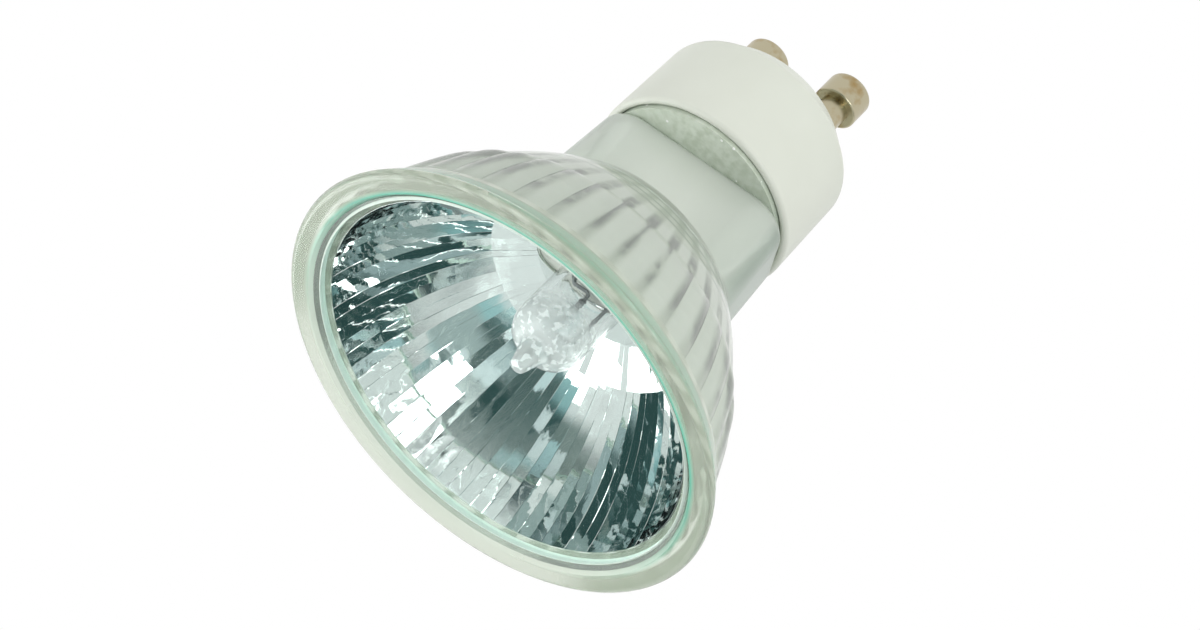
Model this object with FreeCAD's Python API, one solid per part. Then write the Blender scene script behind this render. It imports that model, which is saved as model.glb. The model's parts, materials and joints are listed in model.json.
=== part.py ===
import FreeCAD, Part
import math
import os

from FreeCAD import Rotation, Vector

# Reflector lamp on a two-pin twist-lock base, in millimetres.
# The origin is the centre of the ceramic base's rear face. +Z runs along the beam,
# out of the cover glass, and the two contact pins stand on the X axis, pointing to -Z.

# Reflector rim and the recess for the cover glass
rim_diameter = 50.7
rim_widest_drop = 0.8
bead_height = 3.3
bead_rear_overhang = 0.85
bead_rear_round = 0.4
bead_front_round = 0.75
rim_wall = 2.45
lip_flare = 0.4
lip_height = 0.5
lip_round = 0.35
ledge_width = 1.3

# Bowl of the reflector: a convex arc outside, with flutes, and a faceted mirror inside
bowl_rear_radius = 13.1
bowl_depth = 21.3
rim_overhang = 2.4
bowl_arc_radius = 44.0
shoulder_drop = 0.9
shoulder_round = 1.2
flute_count = 36
flute_depth = 0.45
flute_lift = 0.05
flute_end_depth = 0.1
flute_start = 8.0
flute_run_in = 1.4
flute_rows = 4
mirror_rear_radius = 12.6
mirror_throat = 2.4
mirror_arc_radius = 27.0
mirror_facets = 60
mirror_rows = 8
mirror_floor_radius = 8.6
mirror_floor_wall = 1.2

# Neck: a flat oval, turned against the pins, that ends in a round foot
neck_turn = -15.0
neck_length = 12.3
neck_rear_half_length = 11.1
neck_rear_half_width = 6.3
neck_rear_corner = 4.2
neck_front_half_length = 12.0
neck_front_half_width = 6.9
neck_front_corner = 5.0
neck_edge_round = 1.0
neck_sink = 0.15
neck_in_bowl = 0.6
hole_rear_half_length = 9.3
hole_rear_half_width = 4.6
hole_rear_corner = 2.8
hole_front_half_length = 8.2
hole_front_half_width = 4.2
hole_front_corner = 2.4
foot_height = 2.2
foot_proud = 0.4
foot_clearance = 0.12

# Ceramic base: a cup with a bevelled rear edge
base_length = 13.7
base_mouth_radius = 11.6
base_draft = 0.3
bevel_width = 2.3
bevel_height = 2.6
bevel_round = 0.7
base_edge_round = 0.5
mouth_inner_round = 0.25
mouth_wall = 0.85
cup_wall = 2.0
cup_draft = 0.4
floor_thickness = 3.0

# Contact pins
pin_spacing = 10.0
pin_head_radius = 2.5
pin_head_height = 3.3
pin_head_round = 0.55
pin_under_round = 0.2
pin_length = 8.5
pin_shank_radius = 1.6
pin_collar_radius = 2.1
pin_collar_height = 0.5
pin_hole_clearance = 0.03
pin_flare_radius = 2.2
pin_flare_height = 0.6
pin_bore_depth = 6.2
lead_clearance = 0.04

# Cover glass and the bead of adhesive around it
cover_thickness = 1.9
cover_sink = 0.57
cover_chamfer = 0.2
cover_seat_gap = 0.03
seal_width = 0.4
seal_clearance = 0.02
seal_rise = 0.25

# Quartz capsule
bulb_radius = 4.0
bulb_wall = 0.9
bulb_lift = 1.4
bulb_overlap = 0.5
dome_round = 2.4
tip_root_radius = 1.7
tip_root_rise = 0.1
tip_root_round = 0.5
tip_end_radius = 0.8
tip_length = 3.3
tip_clearance = 2.0
tip_end_round = 0.6
dome_wall = 1.1
cavity_floor = 0.4
cavity_round = 0.9
pinch_half_length = 4.6
pinch_half_width = 1.35
pinch_corner = 0.6
pinch_rise = 1.1
waist_height = 3.0
waist_inset = 0.02
waist_corner_inset = 0.1

# Metal parts sealed in the capsule
foil_offset = 2.3
foil_width = 1.7
foil_thickness = 0.08
foil_above_pinch_end = 2.5
foil_below_waist = 3.5
weld_overlap = 1.2
inner_lead_radius = 0.2
outer_lead_radius = 0.3
outer_lead_drop = 1.3
outer_lead_rise = 3.0
outer_lead_bend = 1.5
outer_lead_in_pin = 4.0
inner_lead_bend = 0.5
coil_lift = 2.8
coil_headroom = 3.7
coil_pitch = 0.3667
coil_wire_radius = 0.08
coil_clearance = 0.03
lead_in_coil = 0.6
lead_step = 1.0

# Cement
cement_gap = 0.03
neck_cement_drop = 0.3
base_cement_width = 5.3
base_cement_height = 2.4

# Modelling allowances: how far a cut runs past what it cuts, and what counts as touching
cut_overrun = 1.0
touch = 0.01
shortest_edge = 1e-6

base_rear_radius = base_mouth_radius - base_draft
foot_front_z = base_length + foot_proud
foot_rear_z = foot_front_z - foot_height
mouth_radius = base_mouth_radius - mouth_wall
bowl_rear_z = foot_front_z + neck_length
front_plane_z = bowl_rear_z + bowl_depth
shoulder_z = bowl_rear_z - shoulder_drop
flute_rear_z = bowl_rear_z + flute_start
mirror_floor_z = bowl_rear_z + mirror_floor_wall
mirror_rear_z = mirror_floor_z + mirror_throat
rim_radius = rim_diameter / 2
bowl_front_radius = rim_radius - rim_overhang
lip_radius = rim_radius - rim_wall
recess_radius = lip_radius - lip_flare
mirror_front_radius = recess_radius - ledge_width
cover_radius = recess_radius - seal_width
rim_widest_z = front_plane_z - rim_widest_drop
bead_rear_z = front_plane_z - bead_height
recess_wall_top_z = front_plane_z - lip_height
ledge_z = front_plane_z - cover_sink - cover_thickness - cover_seat_gap
bulb_bottom_z = mirror_floor_z + bulb_lift
tip_end_z = ledge_z - tip_clearance
dome_top_z = tip_end_z - tip_length
pinch_bottom_z = foot_rear_z + pinch_rise
pinch_top_z = bulb_bottom_z - waist_height
foil_bottom_z = pinch_bottom_z + foil_above_pinch_end
foil_top_z = pinch_top_z - foil_below_waist
outer_lead_bend_z = foot_rear_z - outer_lead_drop
outer_lead_landing_z = floor_thickness + pin_flare_height + outer_lead_rise
coil_bottom_z = bulb_bottom_z + coil_lift
coil_top_z = dome_top_z - coil_headroom
coil_turns = round((coil_top_z - coil_bottom_z) / coil_pitch)
origin = Vector(0, 0, 0)
beam = Vector(0, 0, 1)


def corner_wire(corners):
    """Closed outline in the XZ plane; each corner is radius, height and rounding."""
    points = [Vector(r, 0, z) for r, z, rounding in corners]
    starts, ends, middles = [], [], []
    for i, corner in enumerate(points):
        before = (points[i - 1] - corner).normalize()
        after = (points[(i + 1) % len(points)] - corner).normalize()
        rounding = corners[i][2]
        if rounding == 0:
            starts.append(corner)
            ends.append(corner)
            middles.append(None)
            continue
        half = before.getAngle(after) / 2
        reach = rounding / math.tan(half)
        inward = (before + after).normalize()
        centre = corner + inward * (rounding / math.sin(half))
        starts.append(corner + before * reach)
        ends.append(corner + after * reach)
        middles.append(centre - inward * rounding)
    edges = []
    for i in range(len(points)):
        if middles[i] is not None:
            edges.append(Part.Arc(starts[i], middles[i], ends[i]).toShape())
        following = starts[(i + 1) % len(points)]
        if (following - ends[i]).Length > shortest_edge:
            edges.append(Part.makeLine(ends[i], following))
    return Part.Wire(edges)


def turned(corners):
    """Solid of revolution about the beam axis."""
    return Part.Face(corner_wire(corners)).revolve(origin, beam, 360)


def oval_wire(half_length, half_width, corner, z):
    """Rectangle with round corners, level at height z, turned with the neck."""
    x, y = half_length - corner, half_width - corner
    centres = [(x, y, 0), (-x, y, 90), (-x, -y, 180), (x, -y, 270)]
    arcs = []
    for cx, cy, start in centres:
        middle = Vector(cx, cy, z)
        on_arc = [middle + Rotation(beam, start + step) * Vector(corner, 0, 0) for step in (0, 45, 90)]
        arcs.append(on_arc)
    edges = []
    for i, (first, half_way, last) in enumerate(arcs):
        edges.append(Part.Arc(first, half_way, last).toShape())
        edges.append(Part.makeLine(last, arcs[(i + 1) % 4][0]))
    wire = Part.Wire(edges)
    wire.rotate(origin, beam, neck_turn)
    return wire


def oval_prism(half_length, half_width, corner, bottom_z, top_z):
    face = Part.Face(oval_wire(half_length, half_width, corner, bottom_z))
    return face.extrude(Vector(0, 0, top_z - bottom_z))


def arc_centre(r1, z1, r2, z2, radius):
    """Centre of the arc from one point up to another that bulges away from the axis."""
    half_r, half_z = (r2 - r1) / 2, (z2 - z1) / 2
    half_chord = math.hypot(half_r, half_z)
    reach = math.sqrt(radius ** 2 - half_chord ** 2)
    return r1 + half_r - reach * half_z / half_chord, z1 + half_z + reach * half_r / half_chord


bowl_centre = arc_centre(bowl_rear_radius, bowl_rear_z, bowl_front_radius, bead_rear_z, bowl_arc_radius)
mirror_centre = arc_centre(mirror_rear_radius, mirror_rear_z, mirror_front_radius, ledge_z, mirror_arc_radius)


def bowl_radius(z):
    return bowl_centre[0] + math.sqrt(bowl_arc_radius ** 2 - (z - bowl_centre[1]) ** 2)


def mirror_radius(z):
    return mirror_centre[0] + math.sqrt(mirror_arc_radius ** 2 - (z - mirror_centre[1]) ** 2)


def on_circle(radius, degrees, z):
    return Rotation(beam, degrees) * Vector(radius, 0, 0) + Vector(0, 0, z)


def smooth_shoulder():
    """Bowl from the ledge at the neck up to the flutes, with a rounded rear edge."""
    middle_z = (shoulder_z + flute_rear_z) / 2
    low = Vector(bowl_radius(shoulder_z), 0, shoulder_z)
    middle = Vector(bowl_radius(middle_z), 0, middle_z)
    high = Vector(bowl_radius(flute_rear_z), 0, flute_rear_z)
    on_axis = [Vector(0, 0, flute_rear_z), Vector(0, 0, shoulder_z)]
    edges = [Part.Arc(low, middle, high).toShape()]
    edges += [Part.makeLine(a, b) for a, b in zip([high] + on_axis, on_axis + [low])]
    solid = Part.Face(Part.Wire(edges)).revolve(origin, beam, 360)
    rear_edge = [edge for edge in solid.Edges
                 if isinstance(edge.Curve, Part.Circle) and edge.BoundBox.ZMax < shoulder_z + touch]
    return solid.makeFillet(shoulder_round, rear_edge)


def flute_section(z, depth):
    """Level outline of the fluted bowl: one arc for each flute, meeting in sharp valleys."""
    valley = bowl_radius(z) + flute_lift
    pitch = 360 / flute_count
    edges = []
    for i in range(flute_count):
        first = on_circle(valley, i * pitch, z)
        crest = on_circle(valley + depth, (i + 0.5) * pitch, z)
        last = on_circle(valley, (i + 1) * pitch, z)
        edges.append(Part.Arc(first, crest, last).toShape())
    return Part.Wire(edges)


def fluted_bowl():
    full_z = flute_rear_z + flute_run_in
    sections = [flute_section(flute_rear_z, flute_end_depth)]
    for i in range(flute_rows):
        z = full_z + (bead_rear_z - full_z) * i / (flute_rows - 1)
        sections.append(flute_section(z, flute_depth))
    return Part.makeLoft(sections, True, False)


def rim_bead():
    """Thick rounded rim, with the recess for the cover glass left to the mirror's cut."""
    rear_radius = bowl_radius(bead_rear_z) + bead_rear_overhang
    return turned([
        (0, bead_rear_z, 0),
        (rear_radius, bead_rear_z, bead_rear_round),
        (rim_radius, rim_widest_z, bead_rear_round),
        (rim_radius, front_plane_z, bead_front_round),
        (0, front_plane_z, 0),
    ])


def cover_recess():
    top_z = front_plane_z + cut_overrun
    flare = cut_overrun * (lip_radius - recess_radius) / (front_plane_z - recess_wall_top_z)
    return turned([
        (0, ledge_z, 0),
        (recess_radius, ledge_z, 0),
        (recess_radius, recess_wall_top_z, lip_round),
        (lip_radius + flare, top_z, 0),
        (0, top_z, 0),
    ])


def facet_ring(radius, z):
    """Polygon with one side for each column of mirror facets."""
    pitch = 360 / mirror_facets
    corner_radius = radius / math.cos(math.radians(pitch / 2))
    corners = [on_circle(corner_radius, i * pitch, z) for i in range(mirror_facets)]
    return Part.makePolygon(corners + corners[:1])


def mirror_cavity():
    """Inside of the bowl: rows of flat facets between level polygons."""
    rings = [facet_ring(mirror_floor_radius, mirror_floor_z)]
    for i in range(mirror_rows + 1):
        z = mirror_rear_z + (ledge_z - mirror_rear_z) * i / mirror_rows
        rings.append(facet_ring(mirror_radius(z), z))
    rings.append(facet_ring(mirror_front_radius, ledge_z + cut_overrun))
    return Part.makeLoft(rings, True, True)


def neck():
    bottom_z = foot_front_z - neck_sink
    top_z = bowl_rear_z + neck_in_bowl
    wires = [
        oval_wire(neck_rear_half_length, neck_rear_half_width, neck_rear_corner, bottom_z),
        oval_wire(neck_front_half_length, neck_front_half_width, neck_front_corner, top_z),
    ]
    solid = Part.makeLoft(wires, True, True)
    rear_edges = [edge for edge in solid.Edges if edge.BoundBox.ZMax < bottom_z + touch]
    return solid.makeFillet(neck_edge_round, rear_edges)


def neck_hole(inset, bottom_z, top_z):
    """Tapered hole through the neck, wider at the foot, or a plug that is inset from it."""
    wires = []
    for z in (bottom_z, top_z):
        share = (z - foot_rear_z) / (mirror_floor_z - foot_rear_z)
        sizes = [rear + (front - rear) * share - inset for rear, front in (
            (hole_rear_half_length, hole_front_half_length),
            (hole_rear_half_width, hole_front_half_width),
            (hole_rear_corner, hole_front_corner))]
        wires.append(oval_wire(sizes[0], sizes[1], sizes[2], z))
    return Part.makeLoft(wires, True, True)


def reflector():
    """One pressed-glass piece: rim, fluted bowl, shoulder, neck and foot."""
    foot = Part.makeCylinder(mouth_radius - foot_clearance, foot_height, Vector(0, 0, foot_rear_z))
    glass = smooth_shoulder().fuse([fluted_bowl(), rim_bead(), neck(), foot])
    hole = neck_hole(0, foot_rear_z - cut_overrun, mirror_floor_z + cut_overrun)
    return glass.cut([mirror_cavity(), cover_recess(), hole]).removeSplitter()


def cover_glass():
    bottom_z = ledge_z + cover_seat_gap
    top_z = bottom_z + cover_thickness
    return turned([
        (0, bottom_z, 0),
        (cover_radius - cover_chamfer, bottom_z, 0),
        (cover_radius, bottom_z + cover_chamfer, 0),
        (cover_radius, top_z - cover_chamfer, 0),
        (cover_radius - cover_chamfer, top_z, 0),
        (0, top_z, 0),
    ])


def cover_seal():
    """Bead of clear adhesive that fills the gap around the cover glass."""
    inner = cover_radius + seal_clearance
    outer = recess_radius - seal_clearance
    bottom_z = ledge_z + cover_seat_gap
    top_z = bottom_z + cover_thickness
    return turned([
        (inner, bottom_z, 0),
        (outer, bottom_z, 0),
        (outer, top_z + seal_rise, 0),
        (inner, top_z - cover_chamfer, 0),
    ])


def capsule_outside():
    bulb = turned([
        (0, bulb_bottom_z - bulb_overlap, 0),
        (bulb_radius, bulb_bottom_z - bulb_overlap, 0),
        (bulb_radius, dome_top_z, dome_round),
        (tip_root_radius, dome_top_z + tip_root_rise, tip_root_round),
        (tip_end_radius, tip_end_z, tip_end_round),
        (0, tip_end_z, 0),
    ])
    pinch = oval_prism(pinch_half_length, pinch_half_width, pinch_corner, pinch_bottom_z, pinch_top_z)
    waist_radius = bulb_radius - waist_inset
    waist = Part.makeLoft([
        oval_wire(pinch_half_length, pinch_half_width, pinch_corner, pinch_top_z),
        oval_wire(waist_radius, waist_radius, bulb_radius - waist_corner_inset, bulb_bottom_z),
    ], True, True)
    return bulb.fuse([pinch, waist])


def capsule_cavity():
    radius = bulb_radius - bulb_wall
    top_z = dome_top_z - dome_wall
    return turned([
        (0, bulb_bottom_z + cavity_floor, 0),
        (radius, bulb_bottom_z + cavity_floor, cavity_round),
        (radius, top_z, dome_round - bulb_wall),
        (0, top_z, 0),
    ])


def wire_rod(points, radius, bend):
    """Round wire along straight runs joined by tangent arcs."""
    path = []
    start = points[0]
    for i in range(1, len(points) - 1):
        corner = points[i]
        before = (points[i - 1] - corner).normalize()
        after = (points[i + 1] - corner).normalize()
        half = before.getAngle(after) / 2
        reach = bend / math.tan(half)
        inward = (before + after).normalize()
        centre = corner + inward * (bend / math.sin(half))
        path.append(Part.makeLine(start, corner + before * reach))
        arc = Part.Arc(corner + before * reach, centre - inward * bend, corner + after * reach)
        path.append(arc.toShape())
        start = corner + after * reach
    path.append(Part.makeLine(start, points[-1]))
    section = Part.Wire(Part.makeCircle(radius, points[0], points[1] - points[0]))
    return Part.Wire(path).makePipeShell([section], True, False)


def beside_neck(x, z):
    """Point in the pinch's middle plane, which turns with the neck."""
    return Rotation(beam, neck_turn) * Vector(x, 0, 0) + Vector(0, 0, z)


def inner_lead_short():
    x = foil_offset
    return wire_rod([
        beside_neck(x, foil_top_z - weld_overlap),
        beside_neck(x, coil_bottom_z - lead_step),
        beside_neck(0, coil_bottom_z - lead_step),
        beside_neck(0, coil_bottom_z + lead_in_coil),
    ], inner_lead_radius, inner_lead_bend)


def inner_lead_long():
    x = -foil_offset
    return wire_rod([
        beside_neck(x, foil_top_z - weld_overlap),
        beside_neck(x, coil_top_z + lead_step),
        beside_neck(0, coil_top_z + lead_step),
        beside_neck(0, coil_top_z - lead_in_coil),
    ], inner_lead_radius, inner_lead_bend)


def outer_lead(side):
    return wire_rod([
        beside_neck(side * foil_offset, foil_bottom_z + weld_overlap),
        beside_neck(side * foil_offset, outer_lead_bend_z),
        Vector(side * pin_spacing / 2, 0, outer_lead_landing_z),
        Vector(side * pin_spacing / 2, 0, -outer_lead_in_pin),
    ], outer_lead_radius, outer_lead_bend)


def foil(side, leads):
    strip = Part.makeBox(foil_width, foil_thickness, foil_top_z - foil_bottom_z,
                         Vector(side * foil_offset - foil_width / 2, -foil_thickness / 2, foil_bottom_z))
    strip.rotate(origin, beam, neck_turn)
    return strip.cut(leads)


def filament():
    radius = inner_lead_radius + coil_clearance + coil_wire_radius
    height = coil_top_z - coil_bottom_z
    helix = Part.makeHelix(height / coil_turns, height, radius)
    section = Part.Wire(Part.makeCircle(coil_wire_radius, Vector(radius, 0, 0), Vector(0, 1, 0)))
    coil = Part.Wire(helix).makePipeShell([section], True, True)
    coil.translate(Vector(0, 0, coil_bottom_z))
    return coil


def contact_pin(side):
    """Turned pin: head, shank, collar sunk in the ceramic and a flare staked inside."""
    outline = turned([
        (0, -pin_length, 0),
        (pin_head_radius, -pin_length, pin_head_round),
        (pin_head_radius, pin_head_height - pin_length, pin_under_round),
        (pin_shank_radius, pin_head_height - pin_length, 0),
        (pin_shank_radius, 0, 0),
        (pin_collar_radius, 0, pin_under_round),
        (pin_collar_radius, pin_collar_height, 0),
        (pin_shank_radius, pin_collar_height, 0),
        (pin_shank_radius, floor_thickness, 0),
        (pin_flare_radius, floor_thickness, 0),
        (pin_flare_radius, floor_thickness + pin_flare_height, pin_under_round),
        (0, floor_thickness + pin_flare_height, 0),
    ])
    bore_top = floor_thickness + pin_flare_height
    bore = Part.makeCylinder(outer_lead_radius + lead_clearance, bore_top + pin_bore_depth,
                             Vector(0, 0, -pin_bore_depth))
    pin = outline.cut(bore)
    pin.translate(Vector(side * pin_spacing / 2, 0, 0))
    return pin


def ceramic_base():
    cup_radius = base_mouth_radius - cup_wall
    cup = turned([
        (0, 0, 0),
        (base_rear_radius - bevel_width, 0, bevel_round),
        (base_rear_radius, bevel_height, bevel_round),
        (base_mouth_radius, base_length, base_edge_round),
        (mouth_radius, base_length, mouth_inner_round),
        (mouth_radius, foot_rear_z, 0),
        (cup_radius, foot_rear_z, 0),
        (cup_radius - cup_draft, floor_thickness, 0),
        (0, floor_thickness, 0),
    ])
    holes = []
    for side in (-1, 1):
        middle = Vector(side * pin_spacing / 2, 0, 0)
        holes.append(Part.makeCylinder(pin_shank_radius + pin_hole_clearance, floor_thickness, middle))
        holes.append(Part.makeCylinder(pin_collar_radius + pin_hole_clearance, pin_collar_height, middle))
    return cup.cut(holes)


def neck_cement(inside):
    plug = neck_hole(cement_gap, foot_rear_z, mirror_floor_z - neck_cement_drop)
    return plug.cut(inside)


def base_cement():
    """Ring of cement in the cup, pressed up against the underside of the foot."""
    outer = base_mouth_radius - cup_wall - cement_gap
    inner = outer - base_cement_width
    slope = cup_draft / (foot_rear_z - floor_thickness)
    bottom_z = foot_rear_z - base_cement_height
    return turned([
        (inner, bottom_z, 0),
        (outer - slope * base_cement_height, bottom_z, 0),
        (outer, foot_rear_z, 0),
        (inner, foot_rear_z, 0),
    ])


def build():
    pins = [contact_pin(side) for side in (-1, 1)]
    outer_leads = [outer_lead(side) for side in (-1, 1)]
    inner_leads = [inner_lead_long(), inner_lead_short()]
    foils = [foil(side, outer_leads + inner_leads) for side in (-1, 1)]
    quartz = capsule_outside().cut([capsule_cavity()] + outer_leads + inner_leads + foils)
    return {
        "reflector": reflector(),
        "cover_glass": cover_glass(),
        "cover_seal": cover_seal(),
        "capsule": quartz,
        "filament": filament(),
        "inner_lead_long": inner_leads[0],
        "inner_lead_short": inner_leads[1],
        "foil_left": foils[0],
        "foil_right": foils[1],
        "outer_lead_left": outer_leads[0],
        "outer_lead_right": outer_leads[1],
        "neck_cement": neck_cement([capsule_outside()] + outer_leads),
        "base_cement": base_cement(),
        "ceramic_base": ceramic_base(),
        "contact_pin_left": pins[0],
        "contact_pin_right": pins[1],
    }


os.makedirs("parts", exist_ok=True)
for name, shape in build().items():
    solids = len(shape.Solids)
    print(name, "solids", solids, "valid", shape.isValid(), "volume", round(shape.Volume, 3))
    shape.exportStep("parts/" + name + ".step")
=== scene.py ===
import json
import math
import random

import bmesh
import bpy
from mathutils import Matrix, Vector


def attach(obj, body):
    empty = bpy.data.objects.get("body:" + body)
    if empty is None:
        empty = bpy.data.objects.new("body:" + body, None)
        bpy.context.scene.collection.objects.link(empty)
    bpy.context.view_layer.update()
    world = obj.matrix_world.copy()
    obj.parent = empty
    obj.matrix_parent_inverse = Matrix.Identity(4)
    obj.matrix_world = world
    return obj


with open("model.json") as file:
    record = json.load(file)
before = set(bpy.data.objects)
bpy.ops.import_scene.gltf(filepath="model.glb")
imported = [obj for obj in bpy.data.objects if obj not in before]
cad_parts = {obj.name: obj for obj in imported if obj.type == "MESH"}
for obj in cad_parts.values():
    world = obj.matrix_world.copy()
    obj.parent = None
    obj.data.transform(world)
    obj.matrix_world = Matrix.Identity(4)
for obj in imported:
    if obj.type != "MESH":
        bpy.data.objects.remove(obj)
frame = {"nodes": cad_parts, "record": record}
bpy.context.scene.view_settings.view_transform = "Standard"
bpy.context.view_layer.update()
nodes = frame["nodes"]
mm = 0.001
print("frame loaded:", len(nodes), "nodes")


# colours, directions, objects and nodes

def linear(hexText):
    # sRGB hex to the linear colour that Blender's sockets hold
    channels = [int(hexText[i:i + 2], 16) / 255 for i in (1, 3, 5)]
    return [c / 12.92 if c <= 0.04045 else ((c + 0.055) / 1.055) ** 2.4 for c in channels] + [1.0]


def headingTo(azimuth, elevation):
    # unit vector towards an azimuth and elevation, where azimuth 0 is -Y and 90 is +X
    a, e = math.radians(azimuth), math.radians(elevation)
    return Vector((math.sin(a) * math.cos(e), -math.cos(a) * math.cos(e), math.sin(e)))


def newObject(name, data):
    thing = bpy.data.objects.new(name, data)
    bpy.context.scene.collection.objects.link(thing)
    return thing


def newMaterial(name):
    material = bpy.data.materials.new(name)
    material.use_nodes = True
    material.node_tree.nodes.clear()
    return material, material.node_tree


def addNode(tree, kind, settings=None, inputs=None):
    # a sum is written as a tuple, such as ("MULTIPLY", a, b), in place of the kind or as an input, and a
    # node that is given as an input stands for its first open output
    if isinstance(kind, tuple):
        kind, settings, inputs = "ShaderNodeMath", kind[0], kind[1:]
    if isinstance(settings, str):
        settings = {"operation": settings}
    if isinstance(inputs, tuple):
        inputs = dict(enumerate(inputs))
    node = tree.nodes.new(kind)
    for name, value in (settings or {}).items():
        setattr(node, name, value)
    for name, value in (inputs or {}).items():
        if isinstance(value, tuple) and isinstance(value[0], str):
            value = addNode(tree, value)
        if isinstance(value, bpy.types.Node):
            value = next(socket for socket in value.outputs if socket.enabled)
        if isinstance(value, bpy.types.NodeSocket):
            tree.links.new(value, node.inputs[name])
        else:
            node.inputs[name].default_value = value
    return node


# the kinds of node and the settings that come up again and again
vectorNode, rangeNode, mixNode = "ShaderNodeVectorMath", "ShaderNodeMapRange", "ShaderNodeMix"
shaderNode, blendNode, bumpNode = "ShaderNodeBsdfPrincipled", "ShaderNodeMixShader", "ShaderNodeBump"
smooth = {"interpolation_type": "SMOOTHSTEP"}
inColour = {"data_type": "RGBA"}


def blotches(tree, grainMm, detail=2.0, stretch=(1, 1, 1)):
    # a pattern of blotches about grainMm across, on the piece's own coordinates
    place = addNode(tree, "ShaderNodeTexCoord")
    mapping = addNode(tree, "ShaderNodeMapping", inputs={"Vector": place.outputs["Object"], "Scale": stretch})
    return addNode(tree, "ShaderNodeTexNoise",
                   inputs={"Vector": mapping, "Scale": 1 / (grainMm * mm), "Detail": detail})


def heightShare(tree, heightsMm, settings=None):
    # 0 at the first height and beyond it, 1 at the second
    place = addNode(tree, "ShaderNodeTexCoord")
    split = addNode(tree, "ShaderNodeSeparateXYZ", inputs={"Vector": place.outputs["Object"]})
    return addNode(tree, rangeNode, settings, {
        "Value": split.outputs["Z"], "From Min": heightsMm[0] * mm, "From Max": heightsMm[1] * mm})


def fromAxis(tree):
    # a point's place across the bulb's axis, and its distance from the axis
    place = addNode(tree, "ShaderNodeTexCoord")
    across = addNode(tree, vectorNode, "MULTIPLY", (place.outputs["Object"], (1, 1, 0)))
    return across, addNode(tree, vectorNode, "LENGTH", (across,))


# camera at the photo's viewing angle

cameraPlace = {
    "azimuth": -31.7,  # degrees
    "elevation": 35.85,
    "roll": 224.86,
    "distance": 500.0,  # millimetres
    "aim": (0.0, 0.0, 27.5),
    "offset": (-1.34, -4.41),  # across and up in the picture
    "lens": 150.2,
    "sensor": 36.0,
    "clip": (0.01, 20.0),  # metres
}


def makeCamera():
    back = headingTo(cameraPlace["azimuth"], cameraPlace["elevation"])
    up = (Vector((0, 0, 1)) - back * back.z).normalized()
    right = up.cross(back)
    turn = math.radians(cameraPlace["roll"])
    across = right * math.cos(turn) + up * math.sin(turn)
    upward = up * math.cos(turn) - right * math.sin(turn)
    eye = Vector(cameraPlace["aim"]) + back * cameraPlace["distance"]
    eye += across * cameraPlace["offset"][0] + upward * cameraPlace["offset"][1]
    data = bpy.data.cameras.new("camera")
    data.sensor_width, data.lens = cameraPlace["sensor"], cameraPlace["lens"]
    data.clip_start, data.clip_end = cameraPlace["clip"]
    camera = newObject("camera", data)
    turned = Matrix((across, upward, back)).transposed().to_4x4()
    camera.matrix_world = Matrix.Translation(eye * mm) @ turned
    bpy.context.scene.camera = camera


makeCamera()
print("camera placed")


# studio

studio = {
    "floorHeight": -60.0,  # millimetres
    "floorSize": 6.0,  # metres
    "floorColour": "#F4F4F2",
    "surround": "#FFFFFF",
    "surroundLevel": 0.62,  # how strongly the white room lights the object
    "ceiling": "#FCFFFE",
    "ceilingSpread": (-0.1, 0.4),
    # round cards that glass and metal show: where they are and how wide, in degrees
    "cards": [
        {"azimuth": 20.0, "elevation": 14.0, "outer": 27.0, "inner": 19.0, "colour": "#82938F"},
        {"azimuth": -34.0, "elevation": 34.0, "outer": 43.0, "inner": 39.0, "colour": "#A5D2D4"},
        {"azimuth": -34.0, "elevation": 34.0, "outer": 39.0, "inner": 29.0, "colour": "#345251"},
        {"azimuth": 0.0, "elevation": 30.0, "outer": 16.0, "inner": 10.0, "colour": "#3A5857"},
        {"azimuth": -78.0, "elevation": 32.0, "outer": 14.0, "inner": 8.0, "colour": "#A9BCBB"},
        {"azimuth": -46.0, "elevation": 41.0, "outer": 13.0, "inner": 8.0, "colour": "#B4C8CA"},
        {"azimuth": -122.0, "elevation": 24.0, "outer": 20.0, "inner": 9.0, "colour": "#415559"},
        {"azimuth": 148.3, "elevation": 35.85, "outer": 10.0, "inner": 6.0, "colour": "#3C4A4A"},
    ],
    # upright gaps between two cards, where what is behind them shows as a line
    "gaps": [
        {"azimuth": -66.0, "halfWidth": 0.8, "colour": "#E4F2F3"},
        {"azimuth": -59.0, "halfWidth": 1.6, "colour": "#6C8684"},
        {"azimuth": -7.0, "halfWidth": 0.7, "colour": "#D5ECEE"},
        {"azimuth": 7.0, "halfWidth": 0.9, "colour": "#E4F2F3"},
        {"azimuth": 16.0, "halfWidth": 0.7, "colour": "#C4E6E9"},
        {"azimuth": 27.0, "halfWidth": 0.9, "colour": "#E4F2F3"},
    ],
    "gapFade": (1.4, 0.8),  # a gap's soft edge, in half widths
}

softboxes = {
    "keyBox": {"azimuth": -62.0, "elevation": 19.0, "distance": 0.6, "size": (0.08, 0.28), "power": 0.75},
    "lowStrip": {"azimuth": -46.0, "elevation": 13.0, "distance": 0.6, "size": (0.07, 0.22), "power": 0.65},
    "topBox": {"azimuth": 48.0, "elevation": 60.0, "distance": 0.6, "size": (0.42, 0.28), "power": 1.4},
    "rearBox": {"azimuth": 112.0, "elevation": 35.0, "distance": 0.7, "size": (0.62, 0.34), "power": 2.2},
}
softboxAim = (0.0, 0.0, 24.0)  # millimetres


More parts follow.
